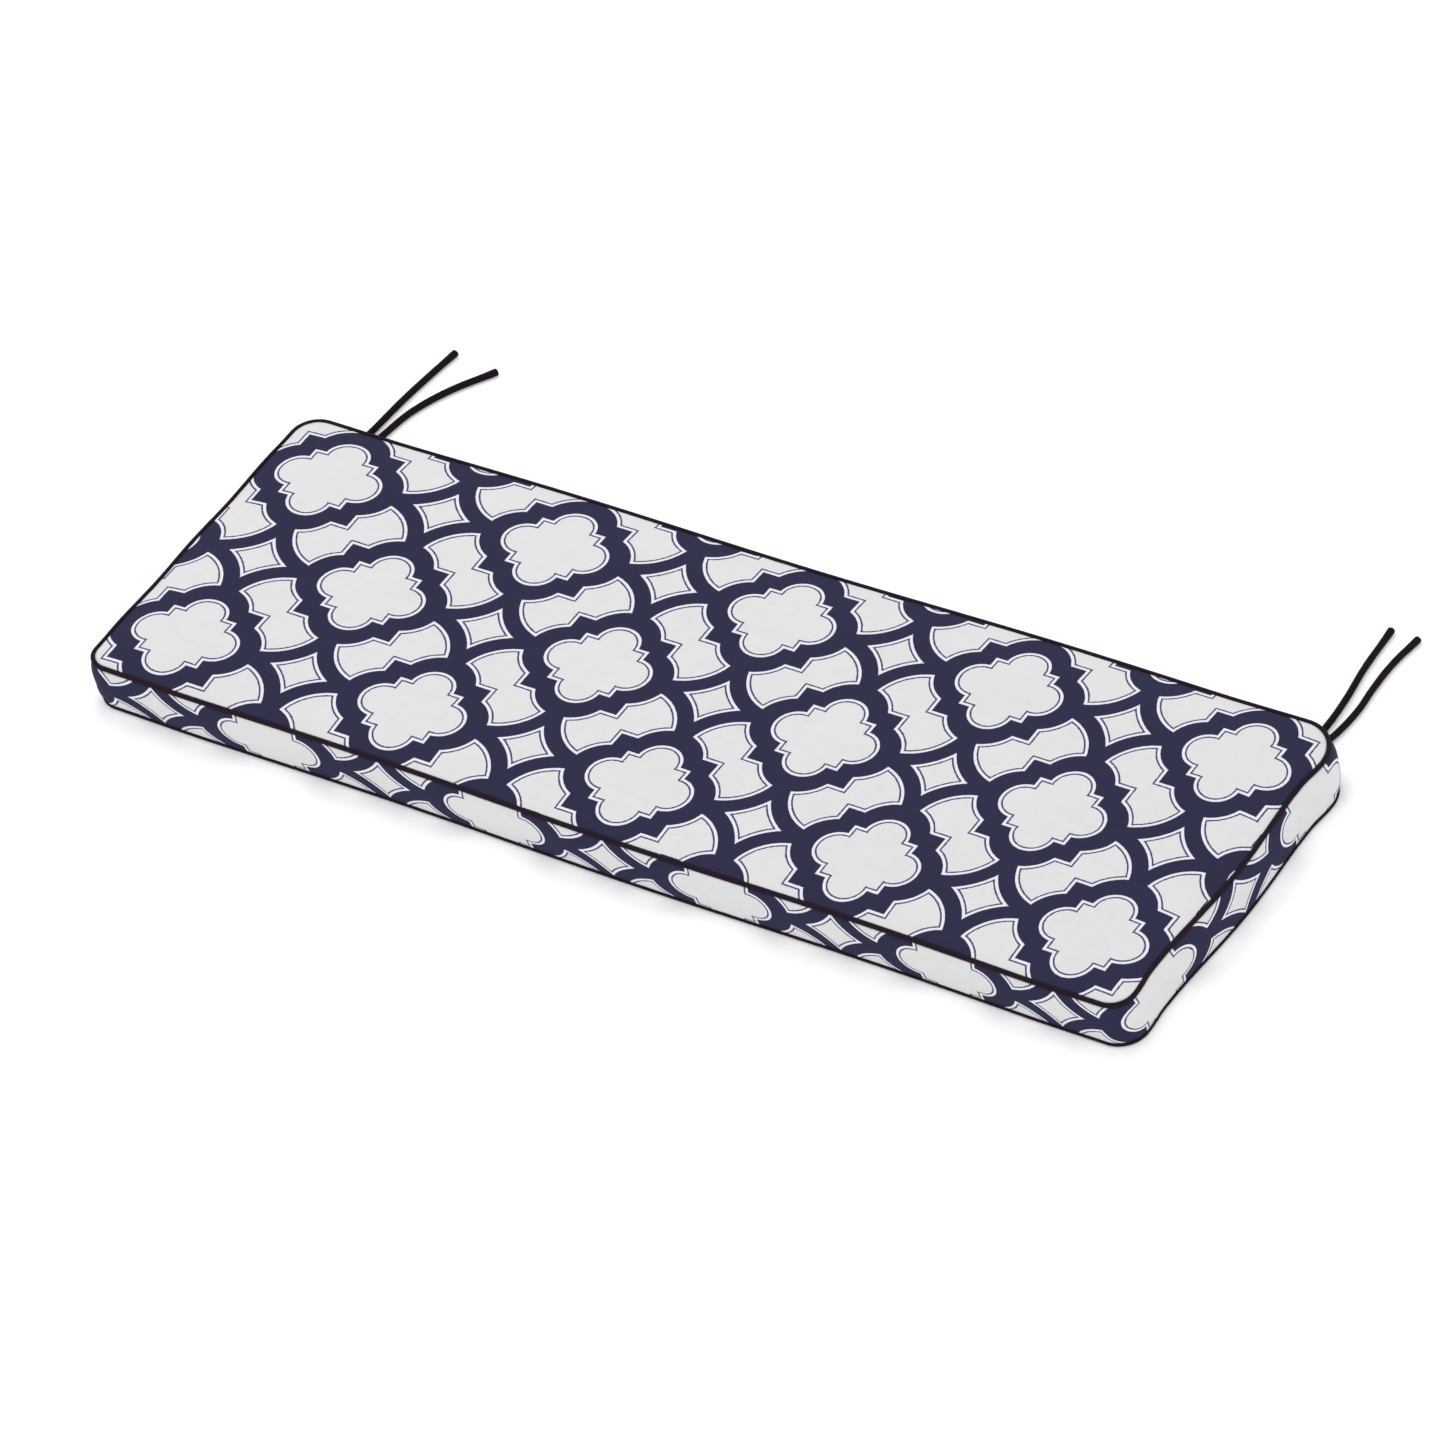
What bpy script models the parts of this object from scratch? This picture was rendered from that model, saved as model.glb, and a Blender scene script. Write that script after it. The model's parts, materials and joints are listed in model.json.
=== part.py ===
"""A long boxed bench cushion with piped edges and two pairs of cord ties, lying on its back.

Units are metres. +Z is up, +X runs along the length towards the right end, and -Y is the front.
The origin is on the ground under the middle of the cushion. Every ring of the cushion and of its
pipings runs anticlockwise, as seen from above, and starts at the front left corner.
"""

import math
from collections import namedtuple

import bmesh
import bpy
from mathutils import Vector
from mathutils.geometry import interpolate_bezier

# Driving sizes
LENGTH = 1.372  # seam to seam, 54 inches
DEPTH = 0.457  # seam to seam, 18 inches
EDGE_HEIGHT = 0.0656  # ground to the top of the top piping
CROWN = 0.0083  # rise of the top panel above its seam
PIPING_RADIUS = 0.0028
TIE_RADIUS = 0.004
GAP = 0.0003  # left between pieces that touch
GROUND_GAP = 0.0004  # under the bottom piping and the ties
GROOVE_SLACK = 1.2  # a groove stands this many gaps off its piping, because both have flat facets

# Worked out from the driving sizes
TOP_SEAM_Z = EDGE_HEIGHT - PIPING_RADIUS
BOTTOM_SEAM_Z = GROUND_GAP + PIPING_RADIUS
GROOVE_RADIUS = PIPING_RADIUS + GROOVE_SLACK * GAP

# The boxing band swells past the seams, and the top panel rises from its seam to a flat middle
BAND_SWELL = 0.0028
BAND_POWER = 3
SWELL_REACH = 0.07  # distance over which the swell changes from a corner's to a side's
BAND_HEIGHTS = (-0.86, -0.62, -0.3, 0.0, 0.3, 0.62, 0.86)  # from -1 at its foot to 1 at its head
CROWN_REACH = 0.16
CROWN_POWER = 4
CROWN_INSETS = (0.008, 0.02, 0.04, 0.07, 0.11, CROWN_REACH)
CROWN_ROUNDING = 0.15  # growth of the corner radii for each metre inwards
FOOT_INSET = 0.012  # where the underside leaves the ground

# Angles round a seam, in degrees, 0 pointing out of the cushion and 90 up
PIPING_ANGLES = range(0, 360, 45)
BOTTOM_GROOVE_ANGLES = (225, 180, 135, 90, 62)
TOP_GROOVE_ANGLES = (298, 270, 225, 180, 157)

# Stations round the cushion
CORNER_STEPS = 6
SIDE_STEPS = {"front": 30, "right": 10, "back": 30, "left": 10}
Rounding = namedtuple("Rounding", "radius taken")  # a corner radius, and what it takes off the anchor
Station = namedtuple("Station", "anchor low high out side along swell")  # low and high: roundings

# The corners in the order of the ring. The bottom seam (low) and the top seam (high) each have a
# radius there and stray from a true cushion in plan. The lift is the top seam's in height, and the
# swell is the band's there, as a share of its swell along the sides.
Seam = namedtuple("Seam", "radius shift_x shift_y")
Corner = namedtuple("Corner", "x y low high lift swell")
CORNERS = (
    Corner(-1, -1, Seam(0.0272, -0.0020, 0.0084), Seam(0.0247, -0.0021, 0.0042), 0.0009, 1.65),
    Corner(1, -1, Seam(0.0313, 0.0047, -0.0070), Seam(0.0271, 0.0014, -0.0070), -0.0025, 1.0),
    Corner(1, 1, Seam(0.0480, -0.0024, 0.0050), Seam(0.0488, -0.0044, 0.0083), 0.0017, 1.75),
    Corner(-1, 1, Seam(0.0308, -0.0002, -0.0074), Seam(0.0302, -0.0002, -0.0074), -0.0017, 1.3),
)

# How the seams stray from straight lines. Each side sways as a cosine with this many waves over its
# length, out by this much at its middle point, a share of the way along.
Sway = namedtuple("Sway", "out waves middle")
TOP_SWAY = {
    "front": Sway(out=0.0018, waves=2.0, middle=0.52),
    "right": Sway(out=0.0038, waves=1.3, middle=0.52),
    "back": Sway(out=-0.0016, waves=2.0, middle=0.50),
    "left": Sway(out=0.0008, waves=2.7, middle=0.49),
}
BOTTOM_SWAY = {
    "front": Sway(out=0.0016, waves=2.0, middle=0.53),
    "right": Sway(out=0.0030, waves=1.3, middle=0.52),
    "back": Sway(out=-0.0012, waves=2.0, middle=0.50),
    "left": Sway(out=0.0008, waves=2.0, middle=0.50),
}
SWAY_FADE = 0.1  # share of a side over which the sway fades out towards a corner

# Ties: where along the bottom seam each one starts, and the points that it passes on the ground
TIE_Z = GROUND_GAP + TIE_RADIUS
Tie = namedtuple("Tie", "start_x route")
TIES = {
    "tie_left_a": Tie(-0.6507, ((-0.6477, 0.281), (-0.6443, 0.336), (-0.6390, 0.384), (-0.6326, 0.428))),
    "tie_left_b": Tie(-0.6370, ((-0.6312, 0.288), (-0.6231, 0.327), (-0.6027, 0.372), (-0.5705, 0.419))),
    "tie_right_a": Tie(0.6120, ((0.6121, 0.296), (0.6083, 0.339), (0.6008, 0.388), (0.5958, 0.454))),
    "tie_right_b": Tie(0.6208, ((0.6286, 0.286), (0.6309, 0.325), (0.6273, 0.364), (0.6263, 0.408),
                                (0.6315, 0.453))),
}
TIE_LEAD = Vector((0, 0.006, 0))  # the straight start of a tie
TIE_STEPS = 5  # points for each stretch of a route, with both its ends
TIE_BEND = 0.36  # how far a stretch's handles reach, as a share of its length

# Finishes
PRINTED_CLOTH = ("printed_cloth", (0.46, 0.46, 0.50), 0.85)
PIPING_CLOTH = ("piping_cloth", (0.022, 0.012, 0.020), 0.75)
TIE_CORD = ("tie_cord", (0.019, 0.011, 0.018), 0.75)


def clear_scene():
    for thing in list(bpy.data.objects):
        bpy.data.objects.remove(thing, do_unlink=True)


def finish(thing, kind):
    """Gives an object its own plain material."""
    name, colour, roughness = kind
    material = bpy.data.materials.new(f"{thing.name}_{name}")
    material.use_nodes = True
    shader = material.node_tree.nodes["Principled BSDF"]
    shader.inputs["Base Color"].default_value = (*colour, 1.0)
    shader.inputs["Roughness"].default_value = roughness
    shader.inputs["Metallic"].default_value = 0.0
    thing.data.materials.append(material)


def direction(angle):
    """A unit vector in plan at an angle in degrees."""
    turn = math.radians(angle)
    return Vector((math.cos(turn), math.sin(turn)))


def roundings(here, there, share):
    """The roundings of the bottom and top seams at a share of the way from one corner to another."""
    found = []
    for near, far in ((here.low.radius, there.low.radius), (here.high.radius, there.high.radius)):
        start = near * Vector((here.x, here.y))
        end = far * Vector((there.x, there.y))
        found.append(Rounding(near + (far - near) * share, start.lerp(end, share)))
    return found


def side_swell(side, here, there, share):
    """The band's swell at a share of a side: a corner's near that corner, and 1 further along."""
    length = LENGTH if side in ("front", "back") else DEPTH
    clear = min(share, 1 - share) * length
    nearer = here if share < 0.5 else there
    growth = math.sin(math.pi / 2 * min(1.0, clear / SWELL_REACH))
    return nearer.swell + (1 - nearer.swell) * growth


def stations():
    """Places round the cushion: a corner, the side that follows it, and so on.

    The anchor is a share of the half sizes, and the out direction points away from the cushion.
    """
    found = []
    for turn, (side, steps) in enumerate(SIDE_STEPS.items()):
        here = CORNERS[turn]
        there = CORNERS[(turn + 1) % len(CORNERS)]
        start = Vector((here.x, here.y))
        end = Vector((there.x, there.y))
        for step in range(CORNER_STEPS + 1):
            out = direction(180 + 90 * (turn + step / CORNER_STEPS))
            found.append(Station(start, *roundings(here, there, 0.0), out, None, 0.0, here.swell))
        out = direction(270 + 90 * turn)
        for step in range(1, steps):
            share = step / steps
            anchor = start.lerp(end, share)
            swell = side_swell(side, here, there, share)
            found.append(Station(anchor, *roundings(here, there, share), out, side, share, swell))
    return found


def left_to_right(station):
    """The share of a side from its left or front end, whichever way round the ring runs."""
    return 1 - station.along if station.side in ("back", "left") else station.along


def sway_out(station, table):
    """How far a seam strays outwards at a station."""
    if station.side is None:
        return 0.0
    sway = table[station.side]
    share = left_to_right(station)
    fade = min(1.0, share / SWAY_FADE, (1 - share) / SWAY_FADE)
    fade *= fade * (3 - 2 * fade)
    wave = math.cos(2 * math.pi * sway.waves * (share - sway.middle))
    return sway.out * wave * fade


def out_of_true(x, y, z, height):
    """Moves a point of a true cushion to where it lies in this one."""
    across = x / (LENGTH / 2)
    along = y / (DEPTH / 2)
    moved = Vector((x, y, z))
    for corner in CORNERS:
        weight = (1 + corner.x * across) * (1 + corner.y * along) / 4
        low = Vector((corner.low.shift_x, corner.low.shift_y, 0))
        high = Vector((corner.high.shift_x, corner.high.shift_y, corner.lift))
        moved += weight * low.lerp(high, height)
    return moved


def ring(out, z, height=0.0, swell=0.0, keep=1.0, growth=None):
    """Points round the cushion, out past the seam line and z above the ground.

    height runs from 0 at the bottom seam to 1 at the top seam, swell is the band's, and keep is the
    share of the seams' sway that is kept. The corner radii grow as far as the ring goes out, unless
    another growth is given.
    """
    growth = out if growth is None else growth
    reach = Vector((LENGTH / 2 + out - growth, DEPTH / 2 + out - growth))
    points = []
    for place in stations():
        low = sway_out(place, BOTTOM_SWAY)
        high = sway_out(place, TOP_SWAY)
        radius = place.low.radius + (place.high.radius - place.low.radius) * height
        taken = place.low.taken.lerp(place.high.taken, height)
        past = radius + growth + swell * place.swell + keep * (low + (high - low) * height)
        spot = place.anchor * reach - taken + place.out * past
        points.append(out_of_true(spot.x, spot.y, z, height))
    return points


def round_seam(angles, radius, seam_z, height):
    """Rings at these angles round a seam."""
    rings = []
    for angle in angles:
        turn = math.radians(angle)
        rings.append(ring(radius * math.cos(turn), seam_z + radius * math.sin(turn), height))
    return rings


def band_rings():
    """The boxing band between the two grooves, swelling in the middle of its height."""
    lip = GROOVE_RADIUS * math.sin(math.radians(BOTTOM_GROOVE_ANGLES[-1]))
    over = GROOVE_RADIUS * math.cos(math.radians(BOTTOM_GROOVE_ANGLES[-1]))
    foot = BOTTOM_SEAM_Z + lip
    head = TOP_SEAM_Z - lip
    rings = []
    for level in BAND_HEIGHTS:
        swell = BAND_SWELL * (1 - abs(level) ** BAND_POWER)
        height = (1 + level) / 2
        rings.append(ring(over, foot + (head - foot) * height, height, swell))
    return rings


def crown_rings():
    """The top panel from its seam up to the flat middle."""
    start = TOP_SEAM_Z + GROOVE_RADIUS * math.sin(math.radians(TOP_GROOVE_ANGLES[-1]))
    rings = []
    for inset in CROWN_INSETS:
        left = 1 - inset / CROWN_REACH
        z = start + CROWN * (1 - left**CROWN_POWER)
        rings.append(ring(-inset, z, 1.0, keep=left**2, growth=CROWN_ROUNDING * inset))
    return rings


def skin(name, rings, joined, kind):
    """One closed body from rings. Joined rings make a loop, and others are capped at both ends."""
    mesh = bmesh.new()
    rows = [[mesh.verts.new(point) for point in points] for points in rings]
    pairs = list(zip(rows, rows[1:]))
    if joined:
        pairs.append((rows[-1], rows[0]))
    else:
        mesh.faces.new(list(reversed(rows[0])))
        mesh.faces.new(rows[-1])
    for lower, upper in pairs:
        for here in range(len(lower)):
            after = (here + 1) % len(lower)
            mesh.faces.new((lower[here], lower[after], upper[after], upper[here]))
    bmesh.ops.recalc_face_normals(mesh, faces=mesh.faces)
    data = bpy.data.meshes.new(name)
    mesh.to_mesh(data)
    mesh.free()
    data.shade_smooth()
    data.set_sharp_from_angle(angle=math.radians(40))
    thing = bpy.data.objects.new(name, data)
    bpy.context.collection.objects.link(thing)
    finish(thing, kind)
    return thing


def make_cushion():
    """The filled cushion: flat underside, two grooves for the pipings, swollen band, crowned top."""
    rings = [ring(-FOOT_INSET, 0.0, growth=0.0)]
    rings += round_seam(BOTTOM_GROOVE_ANGLES, GROOVE_RADIUS, BOTTOM_SEAM_Z, 0.0)
    rings += band_rings()
    rings += round_seam(TOP_GROOVE_ANGLES, GROOVE_RADIUS, TOP_SEAM_Z, 1.0)
    rings += crown_rings()
    return skin("cushion", rings, False, PRINTED_CLOTH)


def make_piping(name, seam_z, height):
    """A round cord that runs all the way round a seam."""
    rings = round_seam(PIPING_ANGLES, PIPING_RADIUS, seam_z, height)
    return skin(name, rings, True, PIPING_CLOTH)


def behind_seam(x):
    """How far back a tie starts, just clear of the bottom piping."""
    seam = zip(stations(), ring(0.0, BOTTOM_SEAM_Z))
    back = [point for place, point in seam if math.isclose(place.out.y, 1.0)]
    for near, far in zip(back, back[1:]):
        if far.x <= x <= near.x:
            share = (x - near.x) / (far.x - near.x)
            return near.lerp(far, share).y + PIPING_RADIUS + GAP
    raise ValueError("a tie must start at the straight part of the back seam")


def smooth_route(tie):
    """Points on one smooth curve on the ground from the back seam through a tie's route."""
    start = Vector((tie.start_x, behind_seam(tie.start_x), TIE_Z))
    marks = [start + TIE_LEAD, *(Vector((x, y, TIE_Z)) for x, y in tie.route)]
    slopes = [(after - before).normalized() for before, after in zip(marks, marks[2:])]
    slopes = [TIE_LEAD.normalized(), *slopes, (marks[-1] - marks[-2]).normalized()]
    points = [start, marks[0]]
    for here in range(len(marks) - 1):
        start, end = marks[here], marks[here + 1]
        handle = TIE_BEND * (end - start).length
        leave = start + handle * slopes[here]
        arrive = end - handle * slopes[here + 1]
        points += interpolate_bezier(start, leave, arrive, end, TIE_STEPS)[1:]
    return points


def make_tie(name, tie):
    """A free cord along its route, with flat ends."""
    points = smooth_route(tie)
    data = bpy.data.curves.new(name, "CURVE")
    data.dimensions = "3D"
    data.bevel_depth = TIE_RADIUS
    data.bevel_resolution = 2
    data.use_fill_caps = True
    spline = data.splines.new("POLY")
    spline.points.add(len(points) - 1)
    for knot, point in zip(spline.points, points):
        knot.co = (*point, 1.0)
    thing = bpy.data.objects.new(name, data)
    bpy.context.collection.objects.link(thing)
    finish(thing, TIE_CORD)
    return thing


def main():
    clear_scene()
    make_cushion()
    make_piping("piping_top", TOP_SEAM_Z, 1.0)
    make_piping("piping_bottom", BOTTOM_SEAM_Z, 0.0)
    for name, tie in TIES.items():
        make_tie(name, tie)


main()
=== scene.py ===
"""Looks of a long boxed bench cushion with corded seams and two pairs of cord ties.

Everything is in metres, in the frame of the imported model. Every ring round the cushion runs
anticlockwise, as seen from above, and starts at the front left corner.
"""

import json
import math
from collections import namedtuple

import bpy
from mathutils import Matrix, Vector, noise
from mathutils.geometry import interpolate_bezier

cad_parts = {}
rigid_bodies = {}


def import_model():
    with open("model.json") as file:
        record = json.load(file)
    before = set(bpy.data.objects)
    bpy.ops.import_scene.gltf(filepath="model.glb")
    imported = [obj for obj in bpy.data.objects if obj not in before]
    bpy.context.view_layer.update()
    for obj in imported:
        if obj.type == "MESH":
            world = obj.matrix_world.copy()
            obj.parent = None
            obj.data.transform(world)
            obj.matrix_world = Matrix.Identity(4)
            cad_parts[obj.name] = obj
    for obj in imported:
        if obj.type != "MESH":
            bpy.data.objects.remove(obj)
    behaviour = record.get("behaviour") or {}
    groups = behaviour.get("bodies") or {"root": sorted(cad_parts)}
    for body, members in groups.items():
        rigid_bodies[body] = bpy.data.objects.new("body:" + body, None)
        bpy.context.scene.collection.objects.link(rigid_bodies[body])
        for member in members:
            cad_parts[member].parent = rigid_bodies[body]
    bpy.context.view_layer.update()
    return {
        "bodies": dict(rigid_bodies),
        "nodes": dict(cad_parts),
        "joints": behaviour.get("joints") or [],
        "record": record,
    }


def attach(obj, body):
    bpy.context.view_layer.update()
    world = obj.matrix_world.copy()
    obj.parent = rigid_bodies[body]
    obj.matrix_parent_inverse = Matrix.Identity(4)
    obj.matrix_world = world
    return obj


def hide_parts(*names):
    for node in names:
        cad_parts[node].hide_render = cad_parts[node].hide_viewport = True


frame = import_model()
BODY = "root"

# The photo's view: from the front right and above, through a long lens
CAMERA_PLACE = (13.51527, -15.53716, 18.09939)
CAMERA_AZIMUTH = 40.9944
CAMERA_ELEVATION = 41.2639
CAMERA_ROLL = -11.9257
CAMERA_LENS = 622.84
CAMERA_SENSOR = 36.0
CAMERA_REACH = 200.0

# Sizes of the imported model
LENGTH = 1.372
DEPTH = 0.457
CROWN = 0.0083
PIPING_RADIUS = 0.0028
TIE_RADIUS = 0.004
GROUND_GAP = 0.0004
GROOVE_RADIUS = 0.00316
TOP_SEAM_Z = 0.0656 - PIPING_RADIUS
BOTTOM_SEAM_Z = GROUND_GAP + PIPING_RADIUS
BAND_SWELL = 0.0028
BAND_POWER = 3
SWELL_REACH = 0.07
CROWN_REACH = 0.16
CROWN_POWER = 4
CROWN_ROUNDING = 0.15
FOOT_INSET = 0.012

# The corners in the order of the rings, each with its bottom seam (low) and its top seam (high)
Seam = namedtuple("Seam", "radius shift_x shift_y")
Corner = namedtuple("Corner", "x y low high lift swell")
CORNERS = (
    Corner(-1, -1, Seam(0.0272, -0.0020, 0.0084), Seam(0.0247, -0.0021, 0.0042), 0.0009, 1.65),
    Corner(1, -1, Seam(0.0313, 0.0047, -0.0070), Seam(0.0271, 0.0014, -0.0070), -0.0025, 1.0),
    Corner(1, 1, Seam(0.0480, -0.0024, 0.0050), Seam(0.0488, -0.0044, 0.0083), 0.0017, 1.75),
    Corner(-1, 1, Seam(0.0308, -0.0002, -0.0074), Seam(0.0302, -0.0002, -0.0074), -0.0017, 1.3),
)
Sway = namedtuple("Sway", "out waves middle")
TOP_SWAY = {
    "front": Sway(out=0.0018, waves=2.0, middle=0.52),
    "right": Sway(out=0.0038, waves=1.3, middle=0.52),
    "back": Sway(out=-0.0016, waves=2.0, middle=0.50),
    "left": Sway(out=0.0008, waves=2.7, middle=0.49),
}
BOTTOM_SWAY = {
    "front": Sway(out=0.0016, waves=2.0, middle=0.53),
    "right": Sway(out=0.0030, waves=1.3, middle=0.52),
    "back": Sway(out=-0.0012, waves=2.0, middle=0.50),
    "left": Sway(out=0.0008, waves=2.0, middle=0.50),
}
SWAY_FADE = 0.1  # share of a side over which its sway comes up

# Stations round the cushion
CORNER_STEPS = 16
SIDE_STEPS = {"front": 228, "right": 76, "back": 228, "left": 76}
Rounding = namedtuple("Rounding", "radius taken")
Station = namedtuple("Station", "anchor low high out side along swell")

# Ties: each one starts just behind the bottom piping and runs through these points on the ground
TIE_Z = GROUND_GAP + TIE_RADIUS
TIE_LEAD = Vector((0, 0.006, 0))
TIE_BEND = 0.36
TIE_STEPS = 16
TIE_SIDES = 20
Tie = namedtuple("Tie", "start_x route")
TIES = {
    "tie_left_a": Tie(-0.6507, ((-0.6477, 0.281), (-0.6443, 0.336), (-0.6390, 0.384), (-0.6326, 0.428))),
    "tie_left_b": Tie(-0.6370, ((-0.6312, 0.288), (-0.6231, 0.327), (-0.6027, 0.372), (-0.5705, 0.419))),
    "tie_right_a": Tie(0.6120, ((0.6121, 0.296), (0.6083, 0.339), (0.6008, 0.388), (0.5958, 0.454))),
    "tie_right_b": Tie(0.6208, ((0.6286, 0.286), (0.6309, 0.325), (0.6273, 0.364), (0.6263, 0.408),
                                (0.6315, 0.453))),
}
GAP = 0.0003

# The print repeats every REPEAT
REPEAT = Vector((0.3003, 0.2893))
# How the print lies on the top panel: repeats along and across it, as sums over (1, x, y, xy, xx, yy)
TOP_LIE_U = (1.9677, 3.3346, -0.0149, 0.0078, 0.0507, 0.3116)
TOP_LIE_V = (0.5200, -0.0036, 3.4674, 0.0131, 0.0120, -0.1199)
UNDERSIDE_START = Vector((-0.5975, -0.1487))
# Where quatrefoils are centred along the band: the side, the place along it, and the count of repeats
BAND_MARKS = (
    ("front", -0.4402, 0),
    ("front", -0.1390, 1),
    ("front", 0.1593, 2),
    ("front", 0.4549, 3),
    ("right", -0.1610, 4),
    ("right", 0.1520, 5),
    ("right", 0.1785, 5.115),
)
BAND_REPEATS = 12
BAND_PRINT_Z = 0.0350  # height of the quatrefoils' centres on the band
BAND_SQUASH = 1.34  # the print's repeats are this much shorter up the band
BAND_SLANT = 0.09  # and they lean this much


def link(thing):
    """Puts an object in the scene."""
    bpy.context.collection.objects.link(thing)
    return thing


# ------------------------------------------------------------------ camera

def make_camera():
    """The camera, turned about its own axis too."""
    azimuth = math.radians(CAMERA_AZIMUTH)
    elevation = math.radians(CAMERA_ELEVATION)
    roll = math.radians(CAMERA_ROLL)
    flat = math.cos(elevation)
    back = Vector((math.sin(azimuth) * flat, -math.cos(azimuth) * flat, math.sin(elevation)))
    level = (-back).cross(Vector((0, 0, 1))).normalized()
    upright = level.cross(-back)
    right = level * math.cos(roll) + upright * math.sin(roll)
    up = upright * math.cos(roll) - level * math.sin(roll)
    data = bpy.data.cameras.new("camera")
    data.lens = CAMERA_LENS
    data.sensor_width = CAMERA_SENSOR
    data.clip_end = CAMERA_REACH
    camera = link(bpy.data.objects.new("camera", data))
    turn = Matrix((right, up, back)).transposed().to_4x4()
    camera.matrix_world = Matrix.Translation(CAMERA_PLACE) @ turn
    bpy.context.scene.camera = camera


# ------------------------------------------------------------------ rings round the cushion

def direction(angle):
    """A level direction at an angle in degrees."""
    turn = math.radians(angle)
    return Vector((math.cos(turn), math.sin(turn)))


def roundings(here, there, share):
    """The roundings of the bottom and top seams at a share of the way from one corner to another."""
    found = []
    for near, far in ((here.low.radius, there.low.radius), (here.high.radius, there.high.radius)):
        start = near * Vector((here.x, here.y))
        end = far * Vector((there.x, there.y))
        found.append(Rounding(near + (far - near) * share, start.lerp(end, share)))
    return found


def side_swell(side, here, there, share):
    """The band's swell at a share of a side: a corner's near that corner, and 1 further along."""
    length = LENGTH if side in ("front", "back") else DEPTH
    clear = min(share, 1 - share) * length
    nearer = here if share < 0.5 else there
    growth = math.sin(math.pi / 2 * min(1.0, clear / SWELL_REACH))
    return nearer.swell + (1 - nearer.swell) * growth


def find_stations():
    """Places round the cushion: a corner, the side that follows it, and so on."""
    found = []
    for turn, (side, steps) in enumerate(SIDE_STEPS.items()):
        here = CORNERS[turn]
        there = CORNERS[(turn + 1) % len(CORNERS)]
        start = Vector((here.x, here.y))
        end = Vector((there.x, there.y))
        for step in range(CORNER_STEPS + 1):
            out = direction(180 + 90 * (turn + step / CORNER_STEPS))
            found.append(Station(start, *roundings(here, there, 0.0), out, None, 0.0, here.swell))
        out = direction(270 + 90 * turn)
        for step in range(1, steps):
            share = step / steps
            anchor = start.lerp(end, share)
            swell = side_swell(side, here, there, share)
            found.append(Station(anchor, *roundings(here, there, share), out, side, share, swell))
    return found


STATIONS = find_stations()


def sway_out(station, table):
    """How far a seam strays outwards at a station."""
    if station.side is None:
        return 0.0
    sway = table[station.side]
    share = 1 - station.along if station.side in ("back", "left") else station.along
    fade = min(1.0, share / SWAY_FADE, (1 - share) / SWAY_FADE)
    fade *= fade * (3 - 2 * fade)
    return sway.out * math.cos(2 * math.pi * sway.waves * (share - sway.middle)) * fade


LOW_SWAY = [sway_out(place, BOTTOM_SWAY) for place in STATIONS]
HIGH_SWAY = [sway_out(place, TOP_SWAY) for place in STATIONS]


def ring(out, height=0.0, swell=0.0, keep=1.0, growth=None):
    """Plan points round the cushion, out past the seam line, before it is put out of true."""
    growth = out if growth is None else growth
    reach = Vector((LENGTH / 2 + out - growth, DEPTH / 2 + out - growth))
    points = []
    for place, low, high in zip(STATIONS, LOW_SWAY, HIGH_SWAY):
        radius = place.low.radius + (place.high.radius - place.low.radius) * height
        taken = place.low.taken.lerp(place.high.taken, height)
        past = radius + growth + swell * place.swell + keep * (low + (high - low) * height)
        points.append(place.anchor * reach - taken + place.out * past)
    return points


def out_of_true(x, y, z, height):
    """Moves a point of a true cushion to where it lies in this one."""
    across = x / (LENGTH / 2)
    along = y / (DEPTH / 2)
    moved = Vector((x, y, z))
    for corner in CORNERS:
        weight = (1 + corner.x * across) * (1 + corner.y * along) / 4
        low = Vector((corner.low.shift_x, corner.low.shift_y, 0))
        high = Vector((corner.high.shift_x, corner.high.shift_y, corner.lift))
        moved += weight * low.lerp(high, height)
    return moved


def arc_lengths():
    """How far each station is round the seam line, and the whole way round."""
    line = ring(0.0, keep=0.0)
    far = [0.0]
    for here, after in zip(line, line[1:] + line[:1]):
        far.append(far[-1] + (after - here).length)
    return far[:-1], far[-1]


ARC, ROUND = arc_lengths()


# ------------------------------------------------------------------ meshes

def build_mesh(name, points, faces, maps, material):
    """A smooth mesh piece. maps gives a list of corner places for each UV map."""
    data = bpy.data.meshes.new(name)
    data.from_pydata(points, [], faces)
    for title, places in maps.items():
        layer = data.uv_layers.new(name=title)
        layer.data.foreach_set("uv", [number for place in places for number in place])
    data.shade_smooth()
    data.materials.append(material)
    data.validate()
    return link(bpy.data.objects.new(name, data))


# ------------------------------------------------------------------ formulas in node trees

class Value:
    """A number in a material's nodes, so that a formula can be written as one."""

    def __init__(self, tree, socket):
        self.tree = tree
        self.socket = socket

    def math(self, operation, *others):
        node = self.tree.nodes.new("ShaderNodeMath")
        node.operation = operation
        for place, number in zip(node.inputs, (self, *others)):
            if isinstance(number, Value):
                self.tree.links.new(number.socket, place)
            else:
                place.default_value = number
        return Value(self.tree, node.outputs[0])

    def __add__(self, other):
        return self.math("ADD", other)

    def __radd__(self, other):
        return self.math("ADD", other)

    def __sub__(self, other):
        return self.math("SUBTRACT", other)

    def __rsub__(self, other):
        return (self * -1.0).math("ADD", other)

    def __mul__(self, other):
        return self.math("MULTIPLY", other)

    def __neg__(self):
        return self * -1.0

    def __abs__(self):
        return self.math("ABSOLUTE")


def least(first, *others):
    for other in others:
        first = first.math("MINIMUM", other)
    return first


def most(first, *others):
    for other in others:
        first = first.math("MAXIMUM", other)
    return first


def far_from(x, y, centre_x, centre_y):
    """Distance of a point from a centre."""
    across = x - centre_x
    along = y - centre_y
    return (across * across + along * along).math("SQRT")


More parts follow.
